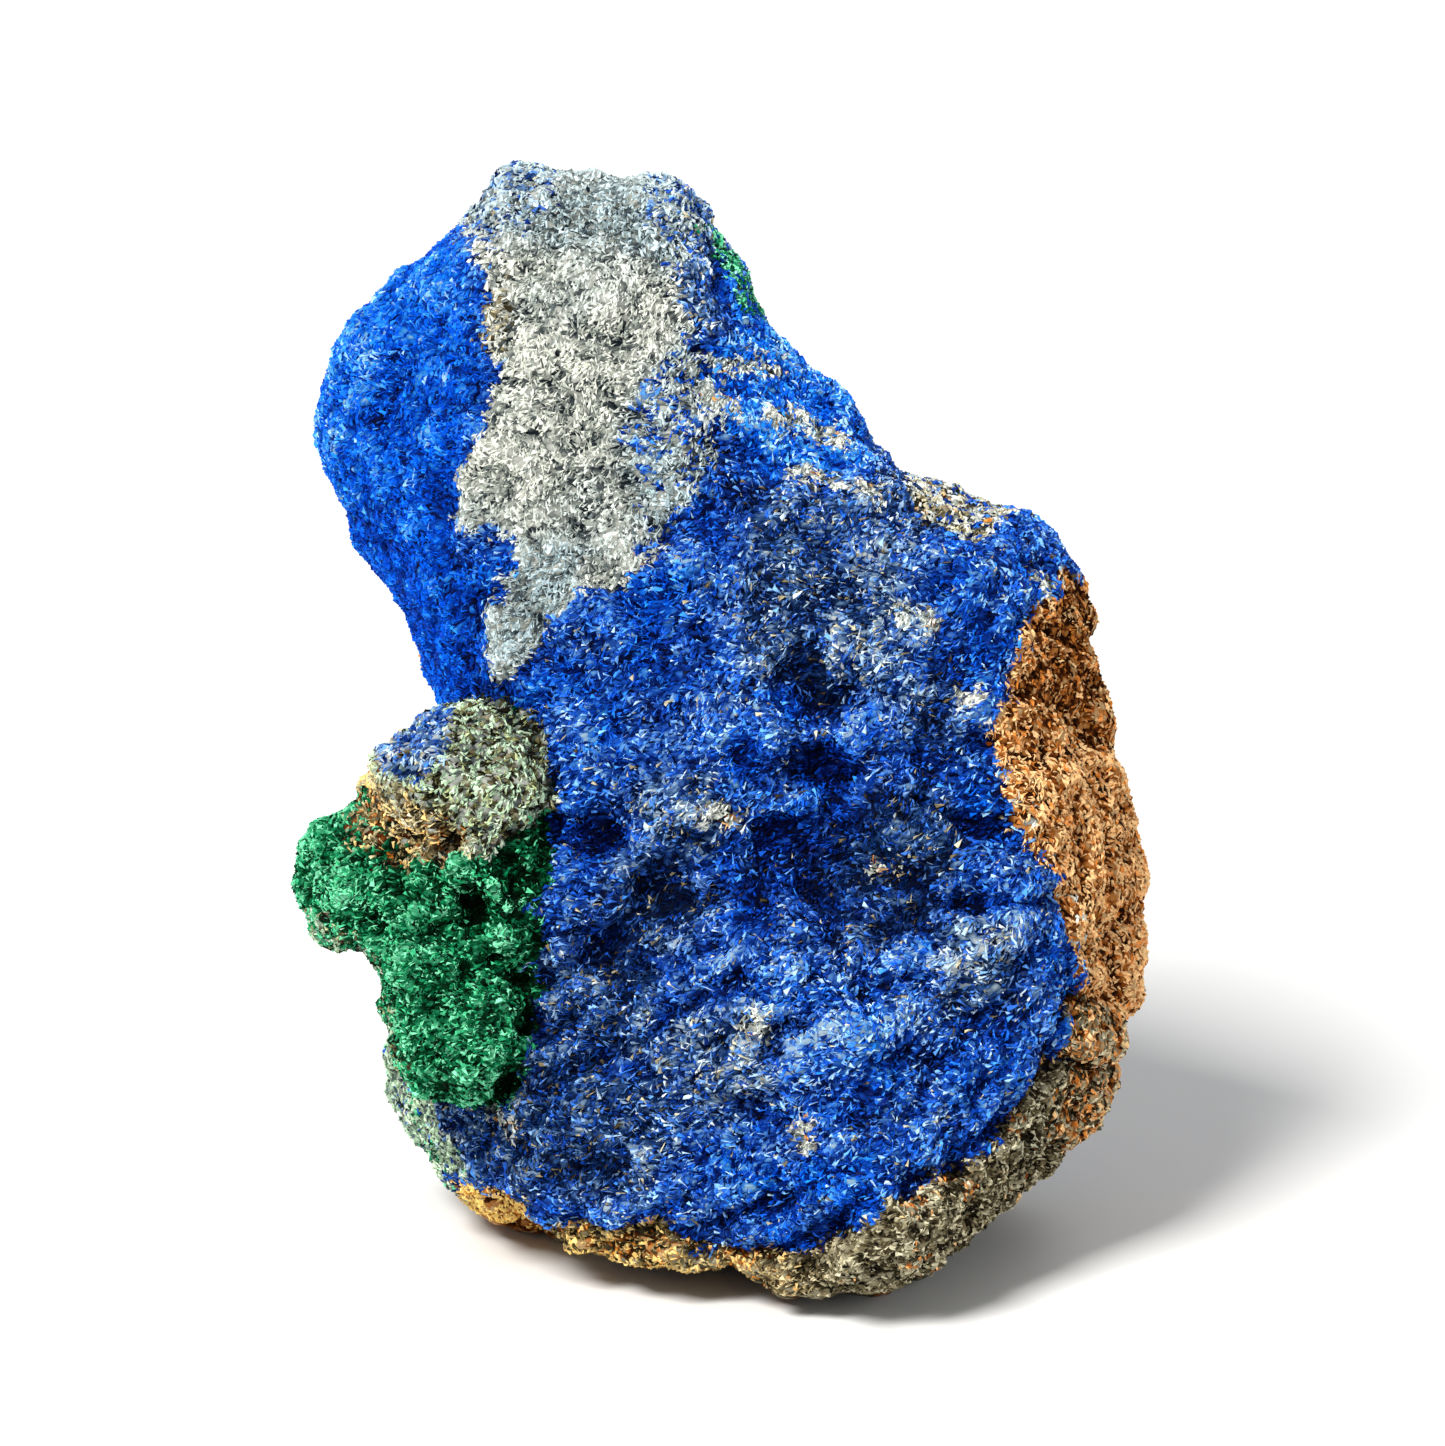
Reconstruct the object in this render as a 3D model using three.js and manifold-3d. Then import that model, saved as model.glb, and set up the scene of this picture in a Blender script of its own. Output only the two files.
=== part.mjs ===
// A hand-size rough lump of azurite with a malachite nodule, standing on its broken base.
// Millimetres, +Z up. The main face looks along -Y. The origin is under the middle of the box,
// on the plane that the stone rests on.

import * as THREE from 'three';
import { mergeVertices } from 'three/addons/utils/BufferGeometryUtils.js';
import { ImprovedNoise } from 'three/addons/math/ImprovedNoise.js';
import Module from 'manifold-3d';

const wasm = await Module();
wasm.setup();

// The stone is laid out in its front view, as an eye sees it that looks slightly down on it:
// u runs to the right, v up the view and w towards the eye. v is 0 at the lowest point seen.
const EYE_ELEVATION = THREE.MathUtils.degToRad(15);
const FOOT_Y = -9; // where the front of the foot meets the ground
const EYE_SIN = Math.sin(EYE_ELEVATION);
const EYE_COS = Math.cos(EYE_ELEVATION);
const FOOT_V = FOOT_Y * EYE_SIN;

// The edge of the stone in its front view, clockwise from the top. Behind the nodule it is guessed.
const EDGE = [
  [-11.8, 60.5], [-9.1, 60.1], [-4.4, 60.8], [-1.3, 59.1], [0.9, 55.9], [2.1, 52.4],
  [7.5, 47.1], [10.3, 44.4], [17.0, 41.8], [20.6, 38.3], [21.1, 33.3], [22.4, 26.0],
  [23.0, 18.4], [22.3, 13.7], [19.6, 9.0], [16.9, 6.6], [14.0, 3.6], [9.6, 0.1],
  [3.6, 0.1], [0.6, 1.2], [-7.5, 1.7], [-12.8, 3.6], [-16.5, 7.6], [-18.3, 11.4],
  [-17.5, 16.1], [-15.8, 21.9], [-14.9, 26.6], [-15.4, 30.6], [-17.2, 35.9], [-20.2, 40.9],
  [-21.9, 45.8], [-21.4, 50.3], [-19.0, 54.2], [-14.4, 57.9],
];
const EDGE_STEPS = 160;
// How fast the sides draw in, in front of the edge and behind it: little at the foot.
const EDGE_ROUNDING = { foot: 0.004, above: 0.022, footTop: 2, aboveFrom: 16 };
const EDGE_DEPTH = { w: 1, atV: 25, perV: 0.05, perU: 0.1, rightOf: 20 };
const HEART = { u: 0.5, v: 26, w: 1 };
const HALF_SIZE = { x: 22, y: 23, z: 29 };
const FACET_ROUNDING = 0.8;
const LOBE_ROUNDING = 0.8;
const BODY_DETAIL = 18;

// Each facet goes through (u, v, w). Its outward normal is turned `right` and `up`, in degrees,
// from straight at the eye.
const PLATE_FACETS = [
  { name: 'main face', u: 4, v: 22, w: 14, right: 2, up: 2 },
  { name: 'upper left bevel', u: -6.5, v: 37.5, w: 13.2, right: -28, up: 34 },
  { name: 'upper bevel', u: 4.5, v: 42.5, w: 12, right: 12, up: 52 },
  { name: 'right flank', u: 17, v: 30, w: 12.8, right: 66, up: 4 },
  { name: 'lower right flank', u: 19.5, v: 16, w: 10.5, right: 56, up: -12 },
  { name: 'lower right rim', u: 13.6, v: 7.2, w: 12, right: 34, up: -50 },
  { name: 'lower rim', u: 1, v: 1.2, w: 13, right: -4, up: -64 },
  { name: 'lower left face', u: -12.6, v: 9, w: 12, right: -42, up: -24 },
  { name: 'left side', u: -12.8, v: 22, w: 11, right: -52, up: 0 },
];
const HUMP_FACETS = [
  { name: 'left face', u: -13.2, v: 44, w: 11.4, right: -44, up: 3 },
  { name: 'ridge', u: -8.5, v: 42, w: 12, right: -4, up: 10 },
  { name: 'crown', u: -7.8, v: 55, w: 10, right: 0, up: 40 },
  { name: 'right slope', u: -2, v: 48, w: 10.4, right: 38, up: 18 },
  { name: 'foot of the left face', u: -14.2, v: 33, w: 10.6, right: -30, up: -8 },
];

// The back is seen by nobody in the front view. Each facet goes through a point of the stone and
// has its outward normal given outright.
const BACK_FACETS = [
  { name: 'back', at: [0, 18, 22], normal: [0.1, 1, 0.04] },
  { name: 'back left', at: [-20, 15.5, 30], normal: [-0.66, 0.75, 0.08] },
  { name: 'back right', at: [14, 12.5, 20], normal: [0.62, 0.78, -0.05] },
  { name: 'back of the hump', at: [-8, 18.5, 46], normal: [-0.12, 0.95, 0.28] },
  { name: 'right shoulder', at: [10, 13, 38], normal: [0.6, 0.75, 0.26] },
  { name: 'undercut', at: [0, 17, 4], normal: [0.05, 0.9, -0.36] },
];

// Knobs and pits of the main face: place in the front view, half length and half width, the turn
// of the length above the horizontal, and how far it stands out (a pit's is below zero).
const FACE_RELIEF = [
  { name: 'upper pit', u: 4.8, v: 32.2, long: 1.9, wide: 1.6, turn: 0, rise: -1.7 },
  { name: 'second pit', u: 5.1, v: 28, long: 1.7, wide: 1.3, turn: 0, rise: -1.3 },
  { name: 'middle hollow', u: 4.2, v: 23.4, long: 4.4, wide: 2.6, turn: 20, rise: -2.2 },
  { name: 'left hollow', u: -3.3, v: 21.4, long: 3.6, wide: 1.7, turn: 28, rise: -1.6 },
  { name: 'left pit', u: -6.5, v: 24.5, long: 1.6, wide: 1.5, turn: 0, rise: -1.3 },
  { name: 'lower left hollow', u: -6, v: 18.2, long: 3, wide: 1.4, turn: 10, rise: -1.2 },
  { name: 'right hollow', u: 11.4, v: 28.6, long: 2.8, wide: 1.5, turn: 15, rise: -1.3 },
  { name: 'right crease', u: 15, v: 24.8, long: 3.4, wide: 0.9, turn: -8, rise: -1.3 },
  { name: 'round knob', u: -0.2, v: 16, long: 2.3, wide: 1.9, turn: 10, rise: 1.6 },
  { name: 'pale knob', u: 12.6, v: 18.2, long: 4.2, wide: 2.3, turn: 24, rise: 1.3 },
  { name: 'left knob', u: -3, v: 25.4, long: 2.6, wide: 1.8, turn: 30, rise: 1.1 },
  { name: 'middle knob', u: 0.4, v: 29.8, long: 2.4, wide: 2, turn: 0, rise: 0.9 },
  { name: 'upper knob', u: 9.4, v: 34.8, long: 3.2, wide: 2, turn: 20, rise: 1 },
  { name: 'right knob', u: 12.4, v: 24.2, long: 2.4, wide: 1.4, turn: 10, rise: 0.9 },
  { name: 'long ridge', u: 1, v: 12.4, long: 9, wide: 1, turn: 24, rise: 1 },
  { name: 'groove under it', u: 2.6, v: 10.2, long: 8, wide: 0.9, turn: 25, rise: -0.5 },
  { name: 'low ridge', u: 5.6, v: 8, long: 8, wide: 1, turn: 27, rise: 0.8 },
  { name: 'left ridge', u: -8.4, v: 10.4, long: 5, wide: 1.1, turn: 18, rise: 0.7 },
  { name: 'right groove', u: 11.4, v: 13, long: 4.4, wide: 0.9, turn: 34, rise: -0.5 },
  { name: 'ledge of the ridge', u: 1.5, v: 39.6, long: 6.5, wide: 1.3, turn: 30, rise: 0.6 },
  { name: 'hump hollow', u: -17.4, v: 47, long: 3, wide: 2, turn: 70, rise: -0.8 },
  { name: 'hump knob', u: -18, v: 50.6, long: 2.6, wide: 2, turn: 50, rise: 0.7 },
  { name: 'top dip', u: -9, v: 59.5, long: 1.6, wide: 2.4, turn: 0, rise: -0.6 },
  { name: 'streak hollow', u: -7, v: 47.5, long: 3.4, wide: 2, turn: 60, rise: -0.7 },
  { name: 'slope knob', u: 1.6, v: 46.5, long: 2.4, wide: 1.6, turn: -40, rise: 0.8 },
];
// The same for the back, placed by x and z.
const BACK_RELIEF = [
  { name: 'back hollow', u: 4, v: 24, long: 6, wide: 3.4, turn: 35, rise: -1.8 },
  { name: 'back knob', u: -7, v: 18, long: 4, wide: 3, turn: 0, rise: 1.4 },
  { name: 'back ledge', u: 2, v: 35, long: 9, wide: 2, turn: -22, rise: 1 },
  { name: 'back groove', u: 1, v: 31, long: 8, wide: 1.8, turn: -22, rise: -0.6 },
  { name: 'back foot', u: 8, v: 8, long: 5, wide: 2.6, turn: 10, rise: 1.2 },
  { name: 'back pit', u: -10, v: 38, long: 2, wide: 1.8, turn: 0, rise: -1.3 },
];

// Uneven ground at several sizes. Knobby levels are round swellings with sharp creases between.
const ROUGHNESS = [
  { size: 9, rise: 0.8, knobby: false },
  { size: 5.2, rise: 1, knobby: true },
  { size: 2.8, rise: 0.6, knobby: true },
];
const KNOB_LEVEL = 0.24; // the mean of a knobby level, taken off so that it doesn't swell the stone

// The nodule is grown from round lumps: centre, half sizes along u, v and w.
const NODULE_LUMPS = [
  { name: 'core', at: [-15, 20, 10.4], half: [4.6, 8.4, 4.6] },
  { name: 'cap', at: [-14, 26.9, 11.5], half: [5.4, 4, 4.8] },
  { name: 'left lump', at: [-18.8, 21.6, 9.8], half: [4.2, 4.4, 4.6] },
  { name: 'shoulder', at: [-12.2, 21.6, 12.6], half: [3.2, 3.8, 3.8] },
  { name: 'middle lump', at: [-16.2, 18.4, 11.8], half: [3.6, 3.3, 4] },
  { name: 'lower lump', at: [-14, 14, 12], half: [4.3, 3.7, 4.2] },
  { name: 'lower left lump', at: [-17, 13.7, 9.6], half: [1.8, 2.8, 3] },
];
const NODULE_HEART = { u: -15.2, v: 20.4, w: 9.5 };
const NODULE_HALF_SIZE = { x: 7.4, y: 6.5, z: 10.2 };
const NODULE_DETAIL = 11;
const LUMP_ROUNDING = 0.4;
const NODULE_PIT = { at: [-13.9, 20, 16.2], radius: 1.3, depth: 1.5 };
const NODULE_KNOBS = [
  { size: 3, rise: 1.1, knobby: true },
  { size: 1.6, rise: 0.3, knobby: true },
];

const BISECTIONS = 24;
const RAY_REACH = 2; // how far a ray is followed, in half sizes
const GROUND_CUTTER = { side: 120, depth: 30 };
const MERGE_DISTANCE = 1e-4;

const noise = new ImprovedNoise();

/** A point of the front view as a point of the model. */
function fromView(u, v, w) {
  const height = v + FOOT_V;
  return new THREE.Vector3(u, height * EYE_SIN - w * EYE_COS, height * EYE_COS + w * EYE_SIN);
}

/** A point of the model as its u, v and w in the front view. */
function toView(point) {
  return {
    u: point.x,
    v: point.y * EYE_SIN + point.z * EYE_COS - FOOT_V,
    w: point.z * EYE_SIN - point.y * EYE_COS,
  };
}

/** The smallest of the values, rounded where two of them are near each other. */
function softMin(values, rounding) {
  const least = Math.min(...values);
  const sum = values.reduce((total, value) => total + Math.exp((least - value) / rounding), 0);
  return least - rounding * Math.log(sum);
}

function softMax(values, rounding) {
  return -softMin(values.map((value) => -value), rounding);
}

/** How far a point is inside a facet of the front view. */
function insideViewFacet(facet, u, v, w) {
  const right = THREE.MathUtils.degToRad(facet.right);
  const up = THREE.MathUtils.degToRad(facet.up);
  const across = (u - facet.u) * Math.sin(right) + (w - facet.w) * Math.cos(right);
  return -(across * Math.cos(up) + (v - facet.v) * Math.sin(up));
}

const edgeCurve = new THREE.CatmullRomCurve3(
  EDGE.map(([u, v]) => new THREE.Vector3(u, v, 0)),
  true,
  'centripetal',
);
const edgePoints = edgeCurve.getPoints(EDGE_STEPS);

/** The distance from (u, v) to the edge of the front view, above zero inside it. */
function insideEdge(u, v) {
  let nearest = Infinity;
  let inside = false;
  for (let i = 0; i < EDGE_STEPS; i++) {
    const a = edgePoints[i];
    const b = edgePoints[i + 1];
    const du = b.x - a.x;
    const dv = b.y - a.y;
    const along = ((u - a.x) * du + (v - a.y) * dv) / (du * du + dv * dv);
    const t = THREE.MathUtils.clamp(along, 0, 1);
    nearest = Math.min(nearest, Math.hypot(u - a.x - t * du, v - a.y - t * dv));
    const crosses = a.y > v !== b.y > v;
    if (crosses && u < a.x + ((v - a.y) * du) / dv) inside = !inside;
  }
  return inside ? nearest : -nearest;
}

/** The w of the edge: forward at the foot, further back up the hump and along the right side. */
function edgeDepth(u, v) {
  const { w, atV, perV, perU, rightOf } = EDGE_DEPTH;
  return w - perV * (v - atV) - perU * u * THREE.MathUtils.smoothstep(u, 0, rightOf);
}

function relief(features, u, v) {
  let rise = 0;
  for (const feature of features) {
    const turn = THREE.MathUtils.degToRad(feature.turn);
    const du = u - feature.u;
    const dv = v - feature.v;
    const along = (du * Math.cos(turn) + dv * Math.sin(turn)) / feature.long;
    const across = (dv * Math.cos(turn) - du * Math.sin(turn)) / feature.wide;
    rise += feature.rise * Math.exp(-(along * along + across * across));
  }
  return rise;
}

function roughness(levels, point) {
  let total = 0;
  for (const { size, rise, knobby } of levels) {
    const value = noise.noise(point.x / size, point.y / size, point.z / size);
    total += rise * (knobby ? Math.abs(value) - KNOB_LEVEL : value);
  }
  return total;
}

const backFacets = BACK_FACETS.map((facet) => ({
  at: new THREE.Vector3(...facet.at),
  normal: new THREE.Vector3(...facet.normal).normalize(),
}));

/** Above zero inside the body of the stone, below zero outside it. */
function bodyField(point) {
  const { u, v, w } = toView(point);
  const lowered = w - relief(FACE_RELIEF, u, v);
  const insideLobe = (facets) => softMin(
    facets.map((facet) => insideViewFacet(facet, u, v, lowered)),
    FACET_ROUNDING,
  );
  const front = softMax([insideLobe(PLATE_FACETS), insideLobe(HUMP_FACETS)], LOBE_ROUNDING);
  const shifted = point.clone();
  shifted.y -= relief(BACK_RELIEF, point.x, point.z);
  const back = backFacets.map((facet) => facet.normal.dot(facet.at) - facet.normal.dot(shifted));
  const { foot, above, footTop, aboveFrom } = EDGE_ROUNDING;
  const rounding = foot + (above - foot) * THREE.MathUtils.smoothstep(v, footTop, aboveFrom);
  const side = insideEdge(u, v) - rounding * (w - edgeDepth(u, v)) ** 2;
  return softMin([front, side, ...back], FACET_ROUNDING) + roughness(ROUGHNESS, point);
}

/** The same for the nodule, whose lumps stay apart by a crease. */
function noduleField(point) {
  const { u, v, w } = toView(point);
  const lumps = NODULE_LUMPS.map(({ at, half }) => {
    const reach = Math.hypot((u - at[0]) / half[0], (v - at[1]) / half[1], (w - at[2]) / half[2]);
    return (1 - reach) * Math.min(...half);
  });
  const [pitU, pitV, pitW] = NODULE_PIT.at;
  const toPit = Math.hypot(u - pitU, v - pitV, w - pitW) / NODULE_PIT.radius;
  return (
    softMax(lumps, LUMP_ROUNDING) +
    roughness(NODULE_KNOBS, point) -
    NODULE_PIT.depth * Math.exp(-toPit * toPit)
  );
}

/** Moves each corner of a sphere of triangles along its ray from the heart to the field's zero. */
function shapeFromField(heart, halfSize, detail, field) {
  const sphere = new THREE.IcosahedronGeometry(1, detail);
  sphere.deleteAttribute('normal');
  sphere.deleteAttribute('uv');
  const shape = mergeVertices(sphere, MERGE_DISTANCE);
  const corners = shape.getAttribute('position');
  const middle = fromView(heart.u, heart.v, heart.w);
  const stretch = new THREE.Vector3(halfSize.x, halfSize.y, halfSize.z);
  const reach = RAY_REACH * Math.max(halfSize.x, halfSize.y, halfSize.z);
  const ray = new THREE.Vector3();
  const point = new THREE.Vector3();
  for (let i = 0; i < corners.count; i++) {
    ray.fromBufferAttribute(corners, i).multiply(stretch).normalize();
    let near = 0;
    let far = reach;
    for (let step = 0; step < BISECTIONS; step++) {
      const half = (near + far) / 2;
      point.copy(middle).addScaledVector(ray, half);
      if (field(point) > 0) near = half;
      else far = half;
    }
    corners.setXYZ(i, point.x, point.y, point.z);
  }
  return shape;
}

function toSolid(geometry) {
  const mesh = new wasm.Mesh({
    numProp: 3,
    vertProperties: new Float32Array(geometry.getAttribute('position').array),
    triVerts: new Uint32Array(geometry.index.array),
  });
  return new wasm.Manifold(mesh);
}

function toGeometry(solid) {
  const { vertProperties, triVerts } = solid.getMesh();
  const geometry = new THREE.BufferGeometry();
  geometry.setAttribute('position', new THREE.BufferAttribute(vertProperties, 3));
  geometry.setIndex(new THREE.BufferAttribute(triVerts, 1));
  return geometry;
}

/** A box below the ground plane, which cuts the foot of the stone flat. */
function groundCutter() {
  const { side, depth } = GROUND_CUTTER;
  const box = new THREE.BoxGeometry(side, side, depth);
  box.deleteAttribute('normal');
  box.deleteAttribute('uv');
  box.translate(0, 0, -depth / 2);
  return toSolid(mergeVertices(box, MERGE_DISTANCE));
}

function makeStone() {
  const body = shapeFromField(HEART, HALF_SIZE, BODY_DETAIL, bodyField);
  const nodule = shapeFromField(NODULE_HEART, NODULE_HALF_SIZE, NODULE_DETAIL, noduleField);
  const solid = toSolid(body).add(toSolid(nodule)).subtract(groundCutter());
  const geometry = toGeometry(solid);
  geometry.computeBoundingBox();
  const centre = geometry.boundingBox.getCenter(new THREE.Vector3());
  geometry.translate(-centre.x, -centre.y, 0);
  geometry.computeVertexNormals();
  const azurite = new THREE.MeshStandardMaterial({ color: 0x1d4f9e, roughness: 0.85, metalness: 0 });
  const mesh = new THREE.Mesh(geometry, azurite);
  mesh.name = 'stone';
  return mesh;
}

const specimen = new THREE.Group();
specimen.add(makeStone());

export default specimen;
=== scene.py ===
import math

import bpy
import numpy as np
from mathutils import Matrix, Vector, noise


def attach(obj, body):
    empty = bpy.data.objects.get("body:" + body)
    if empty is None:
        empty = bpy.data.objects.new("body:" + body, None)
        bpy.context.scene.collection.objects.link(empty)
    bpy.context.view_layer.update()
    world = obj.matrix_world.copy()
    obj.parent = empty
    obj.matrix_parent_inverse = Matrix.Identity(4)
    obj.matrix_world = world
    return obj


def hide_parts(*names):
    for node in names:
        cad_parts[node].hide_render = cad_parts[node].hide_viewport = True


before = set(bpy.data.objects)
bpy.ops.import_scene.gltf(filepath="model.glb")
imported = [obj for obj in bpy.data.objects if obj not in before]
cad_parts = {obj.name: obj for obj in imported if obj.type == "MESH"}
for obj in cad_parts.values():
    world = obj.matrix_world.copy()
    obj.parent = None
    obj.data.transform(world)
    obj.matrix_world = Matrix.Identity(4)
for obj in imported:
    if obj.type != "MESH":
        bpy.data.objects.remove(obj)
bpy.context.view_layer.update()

# Camera, light and floor. The eye looks slightly down on the main face through a long lens. A
# soft light stands at the upper left, a weak one at the right and another behind, and the pale
# room fills in the rest. The floor is a plain matt sheet.
MM = 0.001
EYE_ELEVATION = math.radians(15)
AIM = Vector((0, 0, 28.6 * MM))
EYE_DISTANCE = 520 * MM
NEAREST_SEEN = 10 * MM
LENS_MM = 240
ROOM_COLOUR = (0.93, 0.96, 1.0, 1)
ROOM_BRIGHTNESS = 0.3
FLOOR_SIDE = 8.0
FLOOR_COLOUR = (0.86, 0.86, 0.85, 1)
FLOOR_ROUGHNESS = 0.8

camera = bpy.data.objects.new("camera", bpy.data.cameras.new("camera"))
camera.data.lens = LENS_MM
camera.data.clip_start = NEAREST_SEEN
away = Vector((0, -math.cos(EYE_ELEVATION), math.sin(EYE_ELEVATION)))
camera.location = AIM + away * EYE_DISTANCE
camera.rotation_euler = (math.pi / 2 - EYE_ELEVATION, 0, 0)
bpy.context.collection.objects.link(camera)
bpy.context.scene.camera = camera
bpy.context.scene.view_settings.view_transform = "Standard"

# Each light: its name, place, side in metres, watts and colour.
LIGHTS = [
    ("key light", (-0.96, -1.14, 1.74), 0.8, 76, (1.0, 0.985, 0.96)),
    ("fill light", (1.56, -1.02, 0.72), 1.5, 8, (0.95, 0.975, 1.0)),
    ("back light", (0.75, 1.5, 1.5), 1.2, 11, (1.0, 1.0, 1.0)),
]
for name, place, side, watts, colour in LIGHTS:
    lamp = bpy.data.objects.new(name, bpy.data.lights.new(name, "AREA"))
    lamp.data.size = side
    lamp.data.energy = watts
    lamp.data.color = colour
    lamp.location = place
    lamp.rotation_euler = (AIM - Vector(place)).to_track_quat("-Z", "Y").to_euler()
    bpy.context.collection.objects.link(lamp)

world = bpy.data.worlds.new("pale room")
world.use_nodes = True
room_light = world.node_tree.nodes["Background"]
room_light.inputs["Color"].default_value = ROOM_COLOUR
room_light.inputs["Strength"].default_value = ROOM_BRIGHTNESS
bpy.context.scene.world = world

bpy.ops.object.select_all(action="DESELECT")
bpy.ops.mesh.primitive_plane_add(size=FLOOR_SIDE, location=(0, 0, 0))
floor = bpy.context.object
floor.name = "floor"
floor_paint = bpy.data.materials.new("matt pale floor")
floor_paint.use_nodes = True
floor_shader = floor_paint.node_tree.nodes["Principled BSDF"]
floor_shader.inputs["Base Color"].default_value = FLOOR_COLOUR
floor_shader.inputs["Roughness"].default_value = FLOOR_ROUGHNESS
floor.data.materials.append(floor_paint)

# The stone itself: one lump of azurite, malachite, limonite and pale matrix grown together and
# broken out of the vein. It is copied from the fixed solid, given an even fine mesh, smoothed,
# and roughened by the knobs, pits and sugary surface that each mineral has.
MERGE_DISTANCE = 0.01 * MM
VOXEL = 0.32 * MM
SMOOTHING = 0.5
SMOOTHING_STEPS = 11
# The front view, in which the minerals are drawn, has its own x and y, in mm. The middle of the
# solid's box is at SOLID_SHIFT there, and the foot's front edge, where v is 0, at y = FOOT_FRONT.
SOLID_SHIFT = (-0.1, 1.17)
FOOT_FRONT = -9
FOOT_V = FOOT_FRONT * math.sin(EYE_ELEVATION)
# Kinds of noise: the size of the broadest forms in mm, the octaves, and a shift of its own.
NOISE_FALLOFF = 0.9
NOISE_FINER_BY = 2.1
NOISE = {
    "fine": (0.9, 2, 3.0), "mottle": (2.4, 2, 23.0), "broad": (7.0, 2, 17.0),
    "rust": (15, 4, 47.0), "crust": (11, 4, 83.0),
    "bays across": (3.0, 3, 0.0), "bays up": (3.0, 3, 11.0),
    "stray across": (9, 3, 5.0), "stray up": (9, 3, 8.0),
    "nodule back": (3.5, 2, 53.0), "nodule edge": (1.6, 2, 29.0),
    "groove edge": (1.6, 2, 41.0), "grain swirl": (3.0, 2, 31.0),
}


def deselect_all():
    bpy.ops.object.select_all(action="DESELECT")


def apply_modifier(piece, kind, **settings):
    modifier = piece.modifiers.new(kind.title(), kind)
    for key, value in settings.items():
        setattr(modifier, key, value)
    bpy.context.view_layer.objects.active = piece
    bpy.ops.object.modifier_apply(modifier=modifier.name)


def vertex_places(mesh):
    places = np.empty(len(mesh.vertices) * 3)
    mesh.vertices.foreach_get("co", places)
    return places.reshape(-1, 3)


def vertex_normals(mesh):
    normals = np.empty(len(mesh.vertices) * 3)
    mesh.vertex_normals.foreach_get("vector", normals)
    return normals.reshape(-1, 3)


def front_view(places):
    """Places of the stone, in mm, as seen from the front: u right, v up, w towards the eye."""
    x, y, z = places.T / MM
    y = y + SOLID_SHIFT[1]
    sine, cosine = math.sin(EYE_ELEVATION), math.cos(EYE_ELEVATION)
    return x + SOLID_SHIFT[0], y * sine + z * cosine - FOOT_V, z * sine - y * cosine


def rough(places, kind):
    """Fractal noise of one kind, from about -1 to 1."""
    size, octaves, shift = NOISE[kind]
    scaled = (places / (size * MM) + shift).tolist()
    return np.array([
        noise.fractal(place, NOISE_FALLOFF, NOISE_FINER_BY, octaves) for place in scaled
    ])


def distance_to_line(points, u, v):
    """Distance to an open line of points in the front view."""
    nearest = np.full(u.shape, np.inf)
    for (au, av), (bu, bv) in zip(points, points[1:]):
        du, dv = bu - au, bv - av
        along = np.clip(((u - au) * du + (v - av) * dv) / (du * du + dv * dv), 0, 1)
        nearest = np.minimum(nearest, np.hypot(u - au - along * du, v - av - along * dv))
    return nearest


def inside_outline(outline, u, v):
    """Distance to a closed outline in the front view, above zero inside it."""
    closed = outline + outline[:1]
    inside = np.zeros(u.shape, bool)
    for (au, av), (bu, bv) in zip(closed, closed[1:]):
        if av != bv:
            inside ^= ((av > v) != (bv > v)) & (u < au + (v - av) * (bu - au) / (bv - av))
    nearest = distance_to_line(closed, u, v)
    return np.where(inside, nearest, -nearest)


def inside_blob(middle, half, places):
    """About the distance to the surface of an ellipsoid, above zero inside it, in mm."""
    reach = np.linalg.norm((places / MM - middle) / half, axis=1)
    return (1 - reach) * min(half)


def share(inside, softness):
    """0 outside, 1 inside, with a border `softness` mm wide."""
    step = np.clip(inside / softness + 0.5, 0, 1)
    return step * step * (3 - 2 * step)


stone = bpy.data.objects.new("stone_body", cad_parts["stone"].data.copy())
bpy.context.collection.objects.link(stone)
deselect_all()
stone.select_set(True)
bpy.context.view_layer.objects.active = stone
bpy.ops.object.mode_set(mode="EDIT")
bpy.ops.mesh.select_all(action="SELECT")
bpy.ops.mesh.remove_doubles(threshold=MERGE_DISTANCE)
bpy.ops.object.mode_set(mode="OBJECT")
apply_modifier(stone, "REMESH", mode="VOXEL", voxel_size=VOXEL)
apply_modifier(stone, "SMOOTH", factor=SMOOTHING, iterations=SMOOTHING_STEPS)

# Where each mineral lies, in mm of the front view.
STREAK = [
    (-14.9, 57.6), (-13.2, 56.0), (-12.7, 54.1), (-12.8, 52.7), (-13.4, 51.5), (-12.6, 50.4),
    (-11.8, 49.4), (-12.1, 47.5), (-12.8, 46.1), (-13.5, 44.2), (-14.2, 41.0), (-13.5, 40.2),
    (-11.4, 40.1), (-11.2, 38.9), (-11.8, 37.7), (-12.6, 35.9), (-12.8, 33.8), (-12.3, 32.4),
    (-10.7, 32.9), (-10.0, 34.4), (-8.7, 35.9), (-7.3, 37.2), (-4.7, 38.9), (-2.8, 40.7),
    (-1.3, 42.8), (-0.5, 44.7), (0.0, 46.6), (-0.1, 48.5), (-0.9, 50.1), (-1.4, 51.1),
    (-1.6, 52.7), (-1.9, 54.8), (-0.9, 56.9), (-1.9, 58.9), (-2.8, 60.6), (-3.5, 66.0),
    (-13.5, 66.0), (-14.9, 60.5),
]
STREAK_TOP = [
    (-15.5, 57.8), (-11.7, 55.9), (-7.9, 57.1), (-5.4, 55.9), (-2.7, 54.3), (-1.4, 55.7),
    (0.5, 58.0), (-1.0, 66.0), (-15.5, 66.0),
]
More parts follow.
